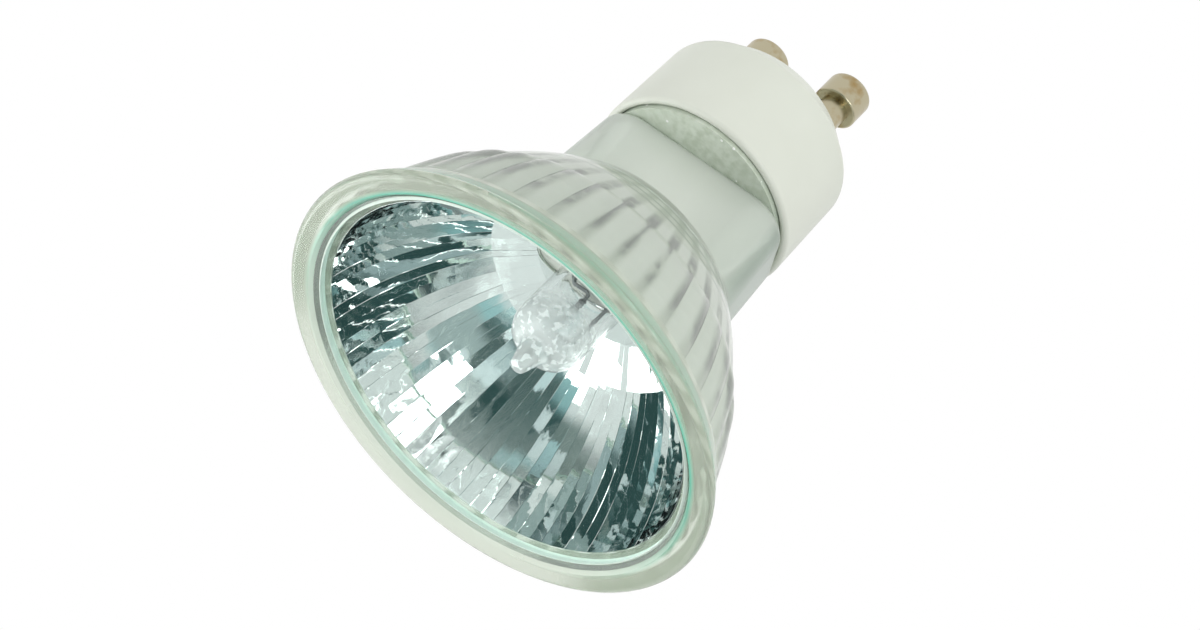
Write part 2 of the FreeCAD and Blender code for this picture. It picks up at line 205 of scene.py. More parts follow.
def makeFloor():
    # white paper: the camera, metal and glass see it as plain white, and it is lit for diffuse light alone
    half, z = studio["floorSize"] / 2, studio["floorHeight"] * mm
    mesh = bpy.data.meshes.new("floor")
    corners = [(-half, -half, z), (half, -half, z), (half, half, z), (-half, half, z)]
    mesh.from_pydata(corners, [], [(0, 1, 2, 3)])
    floor = newObject("floor", mesh)
    material, tree = newMaterial("whiteSweepPaper")
    matte = addNode(tree, "ShaderNodeBsdfDiffuse", inputs={"Color": linear(studio["floorColour"])})
    glow = addNode(tree, "ShaderNodeEmission", inputs={"Color": linear(studio["surround"]), "Strength": 1.0})
    ray = addNode(tree, "ShaderNodeLightPath").outputs
    mirrored = ("MAXIMUM", ray["Is Camera Ray"], ray["Is Glossy Ray"])
    seen = ("MAXIMUM", mirrored, ray["Is Transmission Ray"])
    paper = addNode(tree, blendNode, inputs=(seen, matte, glow))
    addNode(tree, "ShaderNodeOutputMaterial", inputs={"Surface": paper})
    mesh.materials.append(material)


def makeWorld():
    # white all round for the camera; glass and metal show the cards and gaps too, which give the mirror
    # its pale and dark bars, and the diffuse light on the object is plain white
    world = bpy.data.worlds.new("studio")
    world.use_nodes = True
    bpy.context.scene.world = world
    tree = world.node_tree
    tree.nodes.clear()
    white = linear(studio["surround"])
    ray = addNode(tree, "ShaderNodeLightPath").outputs
    towards = addNode(tree, "ShaderNodeTexCoord").outputs["Generated"]
    heading = addNode(tree, "ShaderNodeSeparateXYZ", inputs={"Vector": towards})
    low, high = studio["ceilingSpread"]
    above = addNode(tree, rangeNode, smooth, {
        "Value": heading.outputs["Z"], "From Min": low, "From Max": high})
    layers = [(above, studio["ceiling"])]
    for card in studio["cards"]:
        middle = headingTo(card["azimuth"], card["elevation"])
        near = addNode(tree, vectorNode, "DOT_PRODUCT", (towards, middle))
        outer, inner = (math.cos(math.radians(card[edge])) for edge in ("outer", "inner"))
        layers.append((addNode(tree, rangeNode, smooth, {
            "Value": near, "From Min": outer, "From Max": inner}), card["colour"]))
    for gap in studio["gaps"]:
        side = addNode(tree, vectorNode, "DOT_PRODUCT", (towards, headingTo(gap["azimuth"] + 90, 0)))
        ahead = addNode(tree, vectorNode, "DOT_PRODUCT", (towards, headingTo(gap["azimuth"], 0)))
        half = math.sin(math.radians(gap["halfWidth"]))
        inside = addNode(tree, rangeNode, smooth, {
            "Value": ("ABSOLUTE", side), "From Min": half * studio["gapFade"][0],
            "From Max": half * studio["gapFade"][1]})
        layers.append((("MULTIPLY", inside, ("GREATER_THAN", ahead, 0.0)), gap["colour"]))
    shown = white
    for share, colour in layers:
        shown = addNode(tree, mixNode, inColour, {"Factor": share, "A": shown, "B": linear(colour)})
    direct = addNode(tree, ("MAXIMUM", ray["Is Glossy Ray"], ray["Is Transmission Ray"]))
    soft = addNode(tree, mixNode, inColour, {"Factor": direct, "A": white, "B": shown})
    colour = addNode(tree, mixNode, inColour, {"Factor": ray["Is Camera Ray"], "A": soft, "B": white})
    level = addNode(tree, rangeNode, inputs={
        "Value": ("MAXIMUM", direct, ray["Is Camera Ray"]), "To Min": studio["surroundLevel"], "To Max": 1.0})
    background = addNode(tree, "ShaderNodeBackground", inputs={"Color": colour, "Strength": level})
    addNode(tree, "ShaderNodeOutputWorld", inputs={"Surface": background})


def makeSoftboxes():
    for name, box in softboxes.items():
        data = bpy.data.lights.new(name, "AREA")
        data.shape = "RECTANGLE"
        data.size, data.size_y = box["size"]
        data.energy = box["power"]
        lamp = newObject(name, data)
        away = headingTo(box["azimuth"], box["elevation"])
        lamp.location = Vector(softboxAim) * mm + away * box["distance"]
        lamp.rotation_euler = away.to_track_quat("Z", "Y").to_euler()
        lamp.visible_camera = False


makeFloor()
makeWorld()
makeSoftboxes()
print("studio lit")


# finishes

# the bowl's inner wall: an arc from its rear edge to its front edge, turned about the axis
bowl = {
    "rearRadius": 12.6,
    "rearHeight": 30.0,
    "frontRadius": 21.2,
    "frontHeight": 45.15,
    "arcRadius": 27.0,
    "floorHeight": 27.6,
    "floorRadius": 8.6,
}


def arcCentre():
    halfR = (bowl["frontRadius"] - bowl["rearRadius"]) / 2
    halfZ = (bowl["frontHeight"] - bowl["rearHeight"]) / 2
    chord = math.hypot(halfR, halfZ)
    reach = math.sqrt(bowl["arcRadius"] ** 2 - chord ** 2)
    return (bowl["rearRadius"] + halfR - reach * halfZ / chord,
            bowl["rearHeight"] + halfZ + reach * halfR / chord)


def filmBack(tree, normal):
    # the aluminium film seen through the glass it was laid on: pale and matt, with a painted shade
    # darkening each flute towards its valleys, a darker painted shade streak along each valley broken
    # into soft dashes, and fine rings at the bowl's rear
    look = {
        "crest": "#F1F5EE", "roughness": 0.45, "flutes": 36,
        # painted shade: the next two colours darken each flute towards its valleys, the second as a dashed
        # streak
        "side": "#C8D1C4", "sideEdge": (0.36, 0.12),  # shares of a flute's width
        "valleyShade": "#35463D", "valleyShadeEdge": (0.30, 0.11),
        "valleyShadeRearMm": (30.0, 33.0), "valleyShadeFrontMm": (43.0, 39.5),
        "dashMm": 2.6, "dashStretch": (1, 1, 0.45), "dashEdge": (0.34, 0.54),
        "ring": "#AEBBAE", "ringMm": 1.15, "ringEdge": (0.2, 1.0), "ringFrontMm": (31.5, 30.0),
    }
    place = addNode(tree, "ShaderNodeTexCoord")
    split = addNode(tree, "ShaderNodeSeparateXYZ", inputs={"Vector": place.outputs["Object"]}).outputs
    turns = ("MULTIPLY", ("ARCTAN2", split["Y"], split["X"]), look["flutes"] / (2 * math.pi))
    fromValley = addNode(tree, ("SUBTRACT", 0.5, ("PINGPONG", ("ADD", ("FRACT", turns), 0.5), 0.5)))
    ringTurn = ("SINE", ("MULTIPLY", split["Z"], 2 * math.pi / (look["ringMm"] * mm)))
    dash = blotches(tree, look["dashMm"], detail=4.0, stretch=look["dashStretch"])
    shares = {}
    for name, value in (("side", fromValley), ("valleyShade", fromValley), ("dash", dash), ("ring", ringTurn)):
        wide, narrow = look[name + "Edge"]
        shares[name] = addNode(tree, rangeNode, smooth, {
            "Value": value, "From Min": wide, "From Max": narrow})
    behind, ahead, ringEnd = (heightShare(tree, look[name], smooth)
                              for name in ("valleyShadeRearMm", "valleyShadeFrontMm", "ringFrontMm"))
    # painted shade towards the flutes' valleys, the rings, and the dashed painted shade streak in each valley
    layers = {
        "side": shares["side"],
        "ring": ("MULTIPLY", shares["ring"], ringEnd),
        "valleyShade": ("MULTIPLY", ("MULTIPLY", shares["valleyShade"], shares["dash"]), ("MULTIPLY", behind, ahead)),
    }
    colour = linear(look["crest"])
    for name, share in layers.items():
        colour = addNode(tree, mixNode, inColour, {"Factor": share, "A": colour, "B": linear(look[name])})
    return addNode(tree, shaderNode, inputs={
        "Base Color": colour, "Roughness": look["roughness"], "Normal": normal})


def onMirror(tree):
    # 1 on the inside of the bowl, where the film lies, and 0 on the rest of the glass
    wall = {"reach": 0.7, "rearOverlap": 0.1, "frontOverlap": 0.1 / 3}
    centreRadius, centreHeight = arcCentre()
    place = addNode(tree, "ShaderNodeTexCoord")
    height = addNode(tree, "ShaderNodeSeparateXYZ", inputs={"Vector": place.outputs["Object"]}).outputs["Z"]
    radius = fromAxis(tree)[1]
    rise = addNode(tree, ("SUBTRACT", height, centreHeight * mm))
    arc = ("SQRT", ("SUBTRACT", (bowl["arcRadius"] * mm) ** 2, ("MULTIPLY", rise, rise)))
    inside = ("LESS_THAN", radius, ("ADD", arc, (centreRadius + wall["reach"]) * mm))
    above = ("GREATER_THAN", height, (bowl["floorHeight"] - wall["rearOverlap"]) * mm)
    below = ("LESS_THAN", height, (bowl["frontHeight"] + wall["frontOverlap"]) * mm)
    return addNode(tree, ("MULTIPLY", inside, ("MULTIPLY", above, below)))


def pressedGlass():
    # borosilicate glass pressed hot in an iron mould: clear with a faint green cast, fire-polished,
    # with a slow waviness and a rougher, bubbly face where the foot was cut from the gob
    look = {
        "tint": "#F2F6F0", "ior": 1.48, "roughness": 0.06, "absorb": "#D6E8DC", "density": 20.0,
        "waveMm": 4.0, "wave": 0.07, "waveDepthMm": 0.3,
        # the milky part that the glass scatters back, and how much of it each region has
        "milk": "#EEF5EB", "milkRoughness": 0.3, "milkShare": 0.20, "neckShare": 0.40, "rimShare": 0.08,
        "footShare": 0.30, "lipShare": 0.45,
        # the foot
        "footMm": (14.3, 14.1), "footGrainMm": 0.5, "footGrain": 0.5, "footGrainDepthMm": 0.1,
        "mottle": "#C3CEBC", "mottleMm": 0.9, "mottleEdge": (0.4, 0.65), "mottleLeast": 0.55,
        "bubble": "#FBFDFA", "bubbleMm": 1.6, "bubbleSize": 0.10,
        # the neck, with painted shade on its end faces and towards its ends, for the deeper glass seen
        # lengthwise
        "neckMm": (25.6, 24.6), "neckEndPaintedShade": "#AEBCB0", "neckTurn": -15.0, "neckEndTurn": (0.5, 0.9),
        "neckDeepMm": (2.0, 12.0), "neckDeep": 0.55,
        # the rim, and its lip, where the cover's green edge is painted on towards one heading as an aqua tint
        "rimMm": (44.2, 44.8), "rimRoughness": 0.22, "rimMilk": "#DCE5D0",
        "paintedCoverEdgeTint": "#62C0A6", "lipMm": (23.5, 23.0), "lipHeightMm": (45.2, 45.5),
        "lipHeading": -25.0, "lipSpread": (-1.0, 0.6), "lipFaint": 0.05,
    }
    material, tree = newMaterial("pressedBorosilicateGlass")
    foot, neck, rim, lipHeight = (heightShare(tree, look[name])
                                  for name in ("footMm", "neckMm", "rimMm", "lipHeightMm"))
    soft = addNode(tree, bumpNode, inputs={
        "Height": blotches(tree, look["waveMm"]), "Strength": look["wave"],
        "Distance": look["waveDepthMm"] * mm})
    rough = addNode(tree, bumpNode, inputs={
        "Height": blotches(tree, look["footGrainMm"], detail=4.0), "Distance": look["footGrainDepthMm"] * mm,
        "Strength": ("MULTIPLY", foot, look["footGrain"]), "Normal": soft})
    spread = addNode(tree, rangeNode, inputs={
        "Value": rim, "To Min": look["roughness"], "To Max": look["rimRoughness"]})
    clear = addNode(tree, shaderNode, inputs={
        "Base Color": linear(look["tint"]), "Roughness": spread, "IOR": look["ior"],
        "Transmission Weight": 1.0, "Normal": rough})

    # the aqua tint painted on the lip for the cover's edge, within its radius and height and towards its
    # heading
    across, radius = fromAxis(tree)
    inner = addNode(tree, rangeNode, inputs={
        "Value": radius, "From Min": look["lipMm"][0] * mm, "From Max": look["lipMm"][1] * mm})
    unit = addNode(tree, vectorNode, "NORMALIZE", (across,))
    facing = addNode(tree, vectorNode, "DOT_PRODUCT", (unit, headingTo(look["lipHeading"], 0)))
    side = addNode(tree, rangeNode, smooth, {
        "Value": facing, "From Min": look["lipSpread"][0], "From Max": look["lipSpread"][1],
        "To Min": look["lipFaint"]})
    paintedCoverEdgeTint = addNode(tree, ("MULTIPLY", inner, ("MULTIPLY", lipHeight, side)))

    # painted shade on the neck's ends, by the way the surface faces and by its distance along the neck
    place = addNode(tree, "ShaderNodeTexCoord").outputs
    lengthwise = headingTo(look["neckTurn"] + 90, 0)
    faced = addNode(tree, vectorNode, "DOT_PRODUCT", (place["Normal"], lengthwise))
    ends = addNode(tree, rangeNode, inputs={
        "Value": ("ABSOLUTE", faced), "From Min": look["neckEndTurn"][0], "From Max": look["neckEndTurn"][1]})
    along = addNode(tree, vectorNode, "DOT_PRODUCT", (place["Object"], lengthwise))
    deep = addNode(tree, rangeNode, inputs={
        "Value": ("ABSOLUTE", along), "From Min": look["neckDeepMm"][0] * mm,
        "From Max": look["neckDeepMm"][1] * mm, "To Max": look["neckDeep"]})

    # the foot's mottling and bubbles
    mottle = addNode(tree, rangeNode, inputs={
        "Value": blotches(tree, look["mottleMm"], detail=5.0), "From Min": look["mottleEdge"][0],
        "From Max": look["mottleEdge"][1], "To Min": look["mottleLeast"]})
    cells = addNode(tree, "ShaderNodeTexVoronoi", inputs={
        "Vector": place["Object"], "Scale": 1 / (look["bubbleMm"] * mm)})

    milkShare = look["milkShare"]
    for region, name in ((neck, "neckShare"), (rim, "rimShare"), (foot, "footShare"), (paintedCoverEdgeTint, "lipShare")):
        milkShare = ("MULTIPLY_ADD", region, look[name], milkShare)
    # over the milk: the rim's tint, the aqua painted on the lip, the painted shade on the neck's ends, and
    # the foot's mottling and bubbles
    layers = {
        "rimMilk": rim,
        "paintedCoverEdgeTint": paintedCoverEdgeTint,
        "neckEndPaintedShade": ("MULTIPLY", ("MAXIMUM", ends, deep), neck),
        "mottle": ("MULTIPLY", mottle, foot),
        "bubble": ("MULTIPLY", ("LESS_THAN", cells, look["bubbleSize"]), foot),
    }
    cast = linear(look["milk"])
    for name, share in layers.items():
        cast = addNode(tree, mixNode, inColour, {"Factor": share, "A": cast, "B": linear(look[name])})
    milk = addNode(tree, shaderNode, inputs={
        "Base Color": cast, "Roughness": look["milkRoughness"], "Normal": rough})
    body = addNode(tree, blendNode, inputs=(milkShare, clear, milk))
    body = addNode(tree, blendNode, inputs=(onMirror(tree), body, filmBack(tree, rough)))
    volume = addNode(tree, "ShaderNodeVolumeAbsorption",
                     inputs={"Color": linear(look["absorb"]), "Density": look["density"]})
    addNode(tree, "ShaderNodeOutputMaterial", inputs={"Surface": body, "Volume": volume})
    return material


def floatGlass():
    # float glass cut to a disc: flat and polished, aqua through its thickness, with a pale ground edge
    look = {
        "tint": "#FFFFFF", "ior": 1.52, "roughness": 0.0, "absorb": "#8CD8C6", "density": 40.0,
        "edge": "#E2EEE6", "edgeMm": 21.85, "edgeRoughness": 0.5,
    }
    material, tree = newMaterial("greenEdgedFloatGlass")
    clear = addNode(tree, shaderNode, inputs={
        "Base Color": linear(look["tint"]), "Roughness": look["roughness"], "IOR": look["ior"],
        "Transmission Weight": 1.0})
    ground = addNode(tree, shaderNode, inputs={
        "Base Color": linear(look["edge"]), "Roughness": look["edgeRoughness"]})
    onEdge = ("GREATER_THAN", fromAxis(tree)[1], look["edgeMm"] * mm)
    body = addNode(tree, blendNode, inputs=(onEdge, clear, ground))
    # the disc lets the lamps' light through to the capsule behind it
    ray = addNode(tree, "ShaderNodeLightPath").outputs
    through = addNode(tree, "ShaderNodeBsdfTransparent")
    body = addNode(tree, blendNode, inputs=(ray["Is Shadow Ray"], body, through))
    volume = addNode(tree, "ShaderNodeVolumeAbsorption",
                     inputs={"Color": linear(look["absorb"]), "Density": look["density"]})
    addNode(tree, "ShaderNodeOutputMaterial", inputs={"Surface": body, "Volume": volume})
    return material


def clearSilicone():
    # silicone adhesive run in as a bead: slightly cloudy, glossy
    look = {
        "tint": "#EAF3EC", "ior": 1.41, "roughness": 0.18, "clearness": 0.85,
        "waveMm": 1.2, "wave": 0.25, "waveDepthMm": 0.2,
    }
    material, tree = newMaterial("clearSiliconeBead")
    bump = addNode(tree, bumpNode, inputs={
        "Height": blotches(tree, look["waveMm"]), "Strength": look["wave"],
        "Distance": look["waveDepthMm"] * mm})
    shader = addNode(tree, shaderNode, inputs={
        "Base Color": linear(look["tint"]), "Roughness": look["roughness"], "IOR": look["ior"],
        "Transmission Weight": look["clearness"], "Normal": bump})
    addNode(tree, "ShaderNodeOutputMaterial", inputs={"Surface": shader})
    return material


def quartzGlass():
    # drawn quartz tube, flame-worked to a dome and tip: colourless, and on the dome an uneven skin with
    # frosted flecks
    look = {
        "tint": "#FFFFFF", "ior": 1.46, "roughness": 0.0, "domeMm": (34.5, 36.5),
        "waveMm": 1.5, "wave": 0.7, "waveDepthMm": 0.3,
        "frost": "#FFFFFF", "frostRoughness": 0.08, "frostShare": 0.40,
        "fleckMm": 0.8, "fleckEdge": (0.54, 0.60), "fleckShare": 0.90,
    }
    material, tree = newMaterial("flameWorkedQuartz")
    dome = heightShare(tree, look["domeMm"])
    bump = addNode(tree, bumpNode, inputs={
        "Height": blotches(tree, look["waveMm"], detail=3.0), "Strength": ("MULTIPLY", dome, look["wave"]),
        "Distance": look["waveDepthMm"] * mm})
    clear = addNode(tree, shaderNode, inputs={
        "Base Color": linear(look["tint"]), "Roughness": look["roughness"], "IOR": look["ior"],
        "Transmission Weight": 1.0, "Normal": bump})
    frost = addNode(tree, shaderNode, inputs={
        "Base Color": linear(look["frost"]), "Roughness": look["frostRoughness"], "Normal": bump})
    fleck = addNode(tree, rangeNode, inputs={
        "Value": blotches(tree, look["fleckMm"], detail=3.0), "From Min": look["fleckEdge"][0],
        "From Max": look["fleckEdge"][1], "To Min": look["frostShare"], "To Max": look["fleckShare"]})
    body = addNode(tree, blendNode, inputs=(("MULTIPLY", dome, fleck), clear, frost))
    addNode(tree, "ShaderNodeOutputMaterial", inputs={"Surface": body})
    return material


def mirrorCoat():
    # aluminium vacuum-deposited on the pressed facets: a bright mirror with a faint haze
    look = {"tint": "#F3F6F5", "roughness": 0.025, "waveMm": 1.1, "wave": 0.04, "waveDepthMm": 0.1}
    material, tree = newMaterial("vacuumDepositedAluminium")
    bump = addNode(tree, bumpNode, inputs={
        "Height": blotches(tree, look["waveMm"]), "Strength": look["wave"],
        "Distance": look["waveDepthMm"] * mm})
    shader = addNode(tree, shaderNode, inputs={
        "Base Color": linear(look["tint"]), "Metallic": 1.0, "Roughness": look["roughness"], "Normal": bump})
    addNode(tree, "ShaderNodeOutputMaterial", inputs={"Surface": shader})
    return material


def steatite():
    # steatite ceramic, pressed and fired unglazed: fine-grained, smooth, off-white with a green cast
    look = {
        "colour": "#C9CDC2", "pale": "#D0D4CA", "roughness": 0.42, "cloudMm": 7.0,
        "grainMm": 0.35, "grain": 0.06, "grainDepthMm": 0.05,
    }
    material, tree = newMaterial("firedSteatite")
    colour = addNode(tree, mixNode, inColour, {
        "Factor": blotches(tree, look["cloudMm"]), "A": linear(look["colour"]), "B": linear(look["pale"])})
    bump = addNode(tree, bumpNode, inputs={
        "Height": blotches(tree, look["grainMm"], detail=4.0), "Strength": look["grain"],
        "Distance": look["grainDepthMm"] * mm})
    shader = addNode(tree, shaderNode, inputs={
        "Base Color": colour, "Roughness": look["roughness"], "Normal": bump})
    addNode(tree, "ShaderNodeOutputMaterial", inputs={"Surface": shader})
    return material


def setCement():
    # ceramic cement, poured as a paste and baked: chalky, off-white and grainy, with a greyer painted
    # shade on its top face, which lies deep in the throat
    look = {
        "colour": "#EDEDE6", "pale": "#F8F8F4", "topShade": "#D9D8D0", "topShadeMm": (26.9, 27.1),
        "roughness": 0.85, "grainMm": 0.5, "grain": 0.4, "grainDepthMm": 0.1,
    }
    material, tree = newMaterial("bakedCeramicCement")
    grain = blotches(tree, look["grainMm"], detail=5.0)
    colour = linear(look["colour"])
    # the grain, and the painted shade on the top face
    for share, name in ((grain, "pale"), (heightShare(tree, look["topShadeMm"]), "topShade")):
        colour = addNode(tree, mixNode, inColour, {"Factor": share, "A": colour, "B": linear(look[name])})
    bump = addNode(tree, bumpNode, inputs={
        "Height": grain, "Strength": look["grain"], "Distance": look["grainDepthMm"] * mm})
    shader = addNode(tree, shaderNode, inputs={
        "Base Color": colour, "Roughness": look["roughness"], "Normal": bump})
    addNode(tree, "ShaderNodeOutputMaterial", inputs={"Surface": shader})
    return material


def nickelPlate():
    # brass turned on a lathe and thinly nickel-plated: fine rings, warm grey, brassy where it wore through
    look = {
        "nickel": "#B9B196", "brass": "#9A7A3C", "roughness": 0.28,
        "blotchMm": 1.6, "wornEdge": (0.5, 0.75), "wornShare": 0.7,
        "ringMm": 0.12, "ring": 0.12, "ringStretch": (0.02, 0.02, 1), "ringDepthMm": 0.02,
    }
    material, tree = newMaterial("nickelPlatedTurnedBrass")
    worn = addNode(tree, rangeNode, inputs={
        "Value": blotches(tree, look["blotchMm"], detail=3.0), "From Min": look["wornEdge"][0],
        "From Max": look["wornEdge"][1], "To Max": look["wornShare"]})
    colour = addNode(tree, mixNode, inColour, {
        "Factor": worn, "A": linear(look["nickel"]), "B": linear(look["brass"])})
    bump = addNode(tree, bumpNode, inputs={
        "Height": blotches(tree, look["ringMm"], detail=0.0, stretch=look["ringStretch"]),
        "Strength": look["ring"], "Distance": look["ringDepthMm"] * mm})
    shader = addNode(tree, shaderNode, inputs={
        "Base Color": colour, "Metallic": 1.0, "Roughness": look["roughness"], "Normal": bump})
    addNode(tree, "ShaderNodeOutputMaterial", inputs={"Surface": shader})
    return material


def drawnWire(name, hexText, roughness):
    # refractory metal drawn or rolled: dark grey with lengthwise draw marks
    look = {"markMm": 0.1, "markStretch": (1, 1, 0.1), "spread": 0.08}
    material, tree = newMaterial(name)
    spread = addNode(tree, rangeNode, inputs={
        "Value": blotches(tree, look["markMm"], stretch=look["markStretch"]),
        "To Min": roughness - look["spread"], "To Max": roughness + look["spread"]})
    shader = addNode(tree, shaderNode, inputs={
        "Base Color": linear(hexText), "Metallic": 1.0, "Roughness": spread})
    addNode(tree, "ShaderNodeOutputMaterial", inputs={"Surface": shader})
    return material


finishes = {
    "pressed_glass": pressedGlass(),
    "clear_glass": floatGlass(),
    "clear_adhesive": clearSilicone(),
    "quartz_glass": quartzGlass(),
    "tungsten": drawnWire("drawnTungsten", "#8A8A8C", 0.35),
    "molybdenum": drawnWire("rolledMolybdenum", "#A6A6A4", 0.28),
    "cement": setCement(),
    "ceramic": steatite(),
    "nickel_plated_brass": nickelPlate(),
}
mirrorFinish = mirrorCoat()

for row in frame["record"]["subparts"]:
    node = nodes[row["node"]]
    node.data.materials.clear()
    node.data.materials.append(finishes[row["material_slot"]])
print("finishes on", len(nodes), "nodes")


# mirror coating

mirror = {
    "columns": 90,
    "lines": 40,
    "slotHalfLength": 8.3,  # lengths in millimetres, angles in degrees
    "slotHalfWidth": 4.3,
    "slotPower": 4.5,
    "neckTurn": -15.0,
    "inset": 0.12,
    "joint": 0.02,  # share of a column's width
    "tilt": 0.028,
    "ripple": 0.022,
    "ripples": 2.5,
    "twist": 0.025,
    "twists": 2.0,
    "facetRows": 9,
    "facetTilt": 0.007,
    # columns are broken into facets round this heading, where the cosine of the angle to it is above
    # brokenReach and the column's own draw above brokenDraw
    "brokenHeading": -110.0,
    "brokenReach": 0.35,
    "brokenDraw": 0.1,
    "seed": 23,
    "skin": 0.02,
    "throatSteps": 3,
    "crease": 2.2,
    "close": 1e-4,  # points nearer than this are one
    "floorRing": 0.01,  # the least width of the flat ring round the slot
}

drawShift = {"tip": 2.0, "facet": 3.0, "broken": 5.0, "twist": 40.0, "ripple": 80.0}  # added to the seed
columnStep = 7.31  # how far apart the columns lie in the noise
rowStep = 997.0  # gives each facet of a column a number of its own


def mirrorTree():
    # a grid with two lines for each joint between columns, wrapped into the bowl's arc; every column is
    # tipped by itself, wavers along its length, and some columns are broken into short facets
    tree = bpy.data.node_groups.new("mirrorFacets", "GeometryNodeTree")
    face = tree.interface
    face.new_socket("Geometry", in_out="OUTPUT", socket_type="NodeSocketGeometry")
    kinds = {
        "NodeSocketInt": ("Columns", "Lines", "Facet Rows", "Seed"),
        "NodeSocketFloat": ("Rear Radius", "Rear Height", "Front Radius", "Front Height", "Arc Radius",
                            "Inset", "Joint", "Tilt", "Ripple", "Ripples", "Twist", "Facet Tilt",
                            "Broken Side"),
        "NodeSocketMaterial": ("Finish",),
    }
    sizes = {name: face.new_socket(name, in_out="INPUT", socket_type=kind)
             for kind, names in kinds.items() for name in names}
    given = addNode(tree, "NodeGroupInput").outputs
    columns, seed, joint = given["Columns"], given["Seed"], given["Joint"]
    rearRadius, rearHeight, arcRadius = given["Rear Radius"], given["Rear Height"], given["Arc Radius"]

    # the grid, and for each of its points the column, the edge of the column and the place along it
    acrossLines = addNode(tree, ("MULTIPLY_ADD", columns, 2.0, 1.0))
    grid = addNode(tree, "GeometryNodeMeshGrid", inputs={
        "Size X": 1.0, "Size Y": 1.0, "Vertices X": acrossLines, "Vertices Y": ("ADD", given["Lines"], 1.0)})
    position = addNode(tree, "GeometryNodeInputPosition")
    spot = addNode(tree, "ShaderNodeSeparateXYZ", inputs={"Vector": position})
    lastLine = ("SUBTRACT", acrossLines, 1.0)
    line = addNode(tree, ("ROUND", ("MULTIPLY", ("ADD", spot.outputs["X"], 0.5), lastLine)))
    along = addNode(tree, ("ADD", spot.outputs["Y"], 0.5))
    column = addNode(tree, ("MODULO", ("FLOOR", ("MULTIPLY", line, 0.5)), columns))
    edge = addNode(tree, ("MODULO", line, 2.0))
    span = ("SUBTRACT", 1.0, ("MULTIPLY", joint, 2.0))
    across = addNode(tree, ("ADD", joint, ("MULTIPLY", edge, span)))
    lean = ("MULTIPLY_ADD", edge, 2.0, -1.0)

    # the radius at each height, on the bowl's arc
    depth = addNode(tree, ("SUBTRACT", given["Front Height"], rearHeight))
    height = addNode(tree, ("MULTIPLY_ADD", depth, along, rearHeight))
    halfR = addNode(tree, ("MULTIPLY", ("SUBTRACT", given["Front Radius"], rearRadius), 0.5))
    halfZ = addNode(tree, ("MULTIPLY", depth, 0.5))
    chord = addNode(tree, ("SQRT", ("ADD", ("MULTIPLY", halfR, halfR), ("MULTIPLY", halfZ, halfZ))))
    arcSquare = addNode(tree, ("MULTIPLY", arcRadius, arcRadius))
    reach = addNode(tree, ("SQRT", ("SUBTRACT", arcSquare, ("MULTIPLY", chord, chord))))
    centreR = ("SUBTRACT", ("ADD", rearRadius, halfR), ("DIVIDE", ("MULTIPLY", reach, halfZ), chord))
    centreZ = ("ADD", ("ADD", rearHeight, halfZ), ("DIVIDE", ("MULTIPLY", reach, halfR), chord))
    rise = addNode(tree, ("SUBTRACT", height, centreZ))
    arc = ("SQRT", ("SUBTRACT", arcSquare, ("MULTIPLY", rise, rise)))
    radius = ("SUBTRACT", ("ADD", centreR, arc), given["Inset"])

    # random numbers from -1 to 1 for each column or facet, and smooth noise along each column
    inRow = addNode(tree, ("MULTIPLY", along, given["Facet Rows"]))
    row = addNode(tree, ("FLOOR", inRow))
    facet = ("MULTIPLY_ADD", row, rowStep, column)
    draws = {}
    for name, identity in (("tip", column), ("broken", column), ("facet", facet)):
        draws[name] = addNode(tree, "FunctionNodeRandomValue", {"data_type": "FLOAT"}, {
            "Min": -1.0, "Max": 1.0, "ID": identity, "Seed": ("ADD", seed, drawShift[name])})
    for name, count in (("twist", mirror["twists"]), ("ripple", given["Ripples"])):
        place = addNode(tree, "ShaderNodeCombineXYZ", inputs={
            "X": ("MULTIPLY_ADD", column, columnStep, ("ADD", seed, drawShift[name])),
            "Y": ("MULTIPLY", along, count)})
        grain = addNode(tree, "ShaderNodeTexNoise", {"noise_dimensions": "2D"},
                        {"Vector": place, "Scale": 1.0, "Detail": 1.0})
        draws[name] = ("MULTIPLY_ADD", grain, 2.0, -1.0)

    # how far each point is moved outwards
    pitch = addNode(tree, ("DIVIDE", 2 * math.pi, columns))
    offSide = ("SUBTRACT", ("MULTIPLY", ("ADD", column, 0.5), pitch), given["Broken Side"])
    broken = ("MULTIPLY", ("GREATER_THAN", draws["broken"], mirror["brokenDraw"]),
              ("GREATER_THAN", ("COSINE", offSide), mirror["brokenReach"]))
    saw = ("MULTIPLY", ("SUBTRACT", ("SUBTRACT", inRow, row), 0.5),
           ("MULTIPLY", draws["facet"], given["Facet Tilt"]))
    tip = ("ADD", ("MULTIPLY", draws["tip"], given["Tilt"]), ("MULTIPLY", draws["twist"], given["Twist"]))
    moves = ("ADD", ("ADD", ("MULTIPLY", tip, lean), ("MULTIPLY", saw, broken)),
             ("MULTIPLY", draws["ripple"], given["Ripple"]))
    onChord = ("DIVIDE", radius, ("COSINE", ("MULTIPLY", ("SUBTRACT", across, 0.5), pitch)))
    placed = addNode(tree, ("ADD", onChord, moves))
    angle = addNode(tree, ("MULTIPLY", ("ADD", column, across), pitch))
    place = addNode(tree, "ShaderNodeCombineXYZ", inputs={
        "X": ("MULTIPLY", placed, ("COSINE", angle)),
        "Y": ("MULTIPLY", placed, ("SINE", angle)),
        "Z": height})

    moved = addNode(tree, "GeometryNodeSetPosition", inputs={"Geometry": grid, "Position": place})
    merged = addNode(tree, "GeometryNodeMergeByDistance",
                     inputs={"Geometry": moved, "Distance": mirror["close"] * mm})
    real = addNode(tree, "GeometryNodeRealizeInstances", inputs={"Geometry": merged})
    painted = addNode(tree, "GeometryNodeSetMaterial", inputs={"Geometry": real, "Material": given["Finish"]})
    addNode(tree, "NodeGroupOutput", inputs={"Geometry": painted})
    return tree, sizes


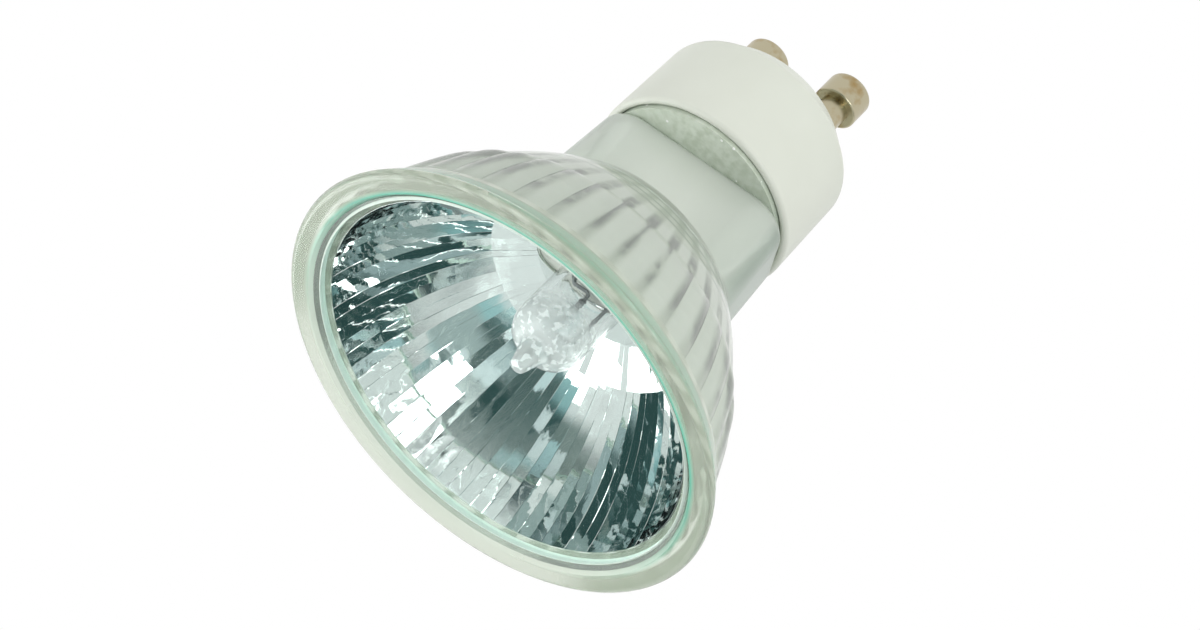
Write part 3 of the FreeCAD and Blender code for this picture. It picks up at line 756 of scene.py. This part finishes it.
def bake(thing):
    depsgraph = bpy.context.evaluated_depsgraph_get()
    plain = bpy.data.meshes.new_from_object(thing.evaluated_get(depsgraph))
    thing.modifiers.clear()
    thing.data = plain


def slotReach(angle):
    # distance from the axis to the edge of the slot that the capsule comes out of
    turned = angle - math.radians(mirror["neckTurn"])
    power = mirror["slotPower"]
    x = abs(math.cos(turned)) / mirror["slotHalfLength"]
    y = abs(math.sin(turned)) / mirror["slotHalfWidth"]
    return (x ** power + y ** power) ** (-1 / power)


def addThroat(shape):
    # each column runs on as flat facets from its foot down to the floor, and a flat ring reaches the slot
    count, steps = mirror["columns"], mirror["throatSteps"]
    dice = random.Random(mirror["seed"])
    low = bowl["floorHeight"] + mirror["inset"]
    foot = min(spot.co.z for spot in shape.verts)
    feet = sorted((spot for spot in shape.verts if spot.co.z < foot + mirror["close"] * mm),
                  key=lambda spot: math.atan2(spot.co.y, spot.co.x) % (2 * math.pi))
    floorReach = (bowl["floorRadius"] - mirror["inset"]) * mm
    tips = [dice.uniform(-1, 1) * mirror["tilt"] * mm for i in range(count)]
    rings = [feet]
    for step in range(1, steps + 1):
        share = step / steps
        ring = []
        for i, spot in enumerate(feet):
            angle = math.atan2(spot.co.y, spot.co.x)
            reach = math.hypot(spot.co.x, spot.co.y) * (1 - share) + floorReach * share
            reach += tips[i // 2 % count] * (1 if i % 2 else -1) * (share < 1)
            height = foot * (1 - share) + low * mm * share
            ring.append(shape.verts.new((reach * math.cos(angle), reach * math.sin(angle), height)))
        rings.append(ring)
    slot = []
    for spot in feet:
        angle = math.atan2(spot.co.y, spot.co.x)
        reach = min(slotReach(angle) * mm, floorReach - mirror["floorRing"] * mm)
        slot.append(shape.verts.new((reach * math.cos(angle), reach * math.sin(angle), low * mm)))
    rings.append(slot)
    for outer, inner in zip(rings, rings[1:]):
        for i in range(len(feet)):
            j = (i + 1) % len(feet)
            shape.faces.new((outer[i], outer[j], inner[j], inner[i]))


def makeMirror():
    coat = newObject("mirrorCoating", bpy.data.meshes.new("mirrorCoating"))
    tree, sizes = mirrorTree()
    modifier = coat.modifiers.new("facets", "NODES")
    modifier.node_group = tree
    values = {
        "Columns": mirror["columns"], "Lines": mirror["lines"], "Facet Rows": mirror["facetRows"],
        "Seed": mirror["seed"], "Rear Radius": bowl["rearRadius"] * mm,
        "Rear Height": bowl["rearHeight"] * mm, "Front Radius": bowl["frontRadius"] * mm,
        "Front Height": bowl["frontHeight"] * mm, "Arc Radius": bowl["arcRadius"] * mm,
        "Inset": mirror["inset"] * mm, "Joint": mirror["joint"], "Tilt": mirror["tilt"] * mm,
        "Ripple": mirror["ripple"] * mm, "Ripples": mirror["ripples"], "Twist": mirror["twist"] * mm,
        "Facet Tilt": mirror["facetTilt"] * mm, "Broken Side": math.radians(mirror["brokenHeading"] - 90),
        "Finish": mirrorFinish,
    }
    for name, value in values.items():
        modifier[sizes[name].identifier] = value
    bake(coat)
    # the grid brings an empty slot of its own, so every face is put on the one finish
    coat.data.materials.clear()
    coat.data.materials.append(mirrorFinish)
    shape = bmesh.new()
    shape.from_mesh(coat.data)
    addThroat(shape)
    for part in shape.faces:
        part.material_index = 0
    bmesh.ops.recalc_face_normals(shape, faces=shape.faces)
    middle = Vector((0, 0, bowl["frontHeight"] * mm))
    if sum(part.normal.dot(middle - part.calc_center_median()) for part in shape.faces) < 0:
        bmesh.ops.reverse_faces(shape, faces=shape.faces)
    shape.to_mesh(coat.data)
    shape.free()
    skin = coat.modifiers.new("skin", "SOLIDIFY")
    skin.thickness = mirror["skin"] * mm
    skin.offset = 0.0
    bake(coat)
    coat.data.polygons.foreach_set("use_smooth", [True] * len(coat.data.polygons))
    coat.data.set_sharp_from_angle(angle=math.radians(mirror["crease"]))
    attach(coat, "root")
    print("mirror coating:", len(coat.data.polygons), "faces")


makeMirror()
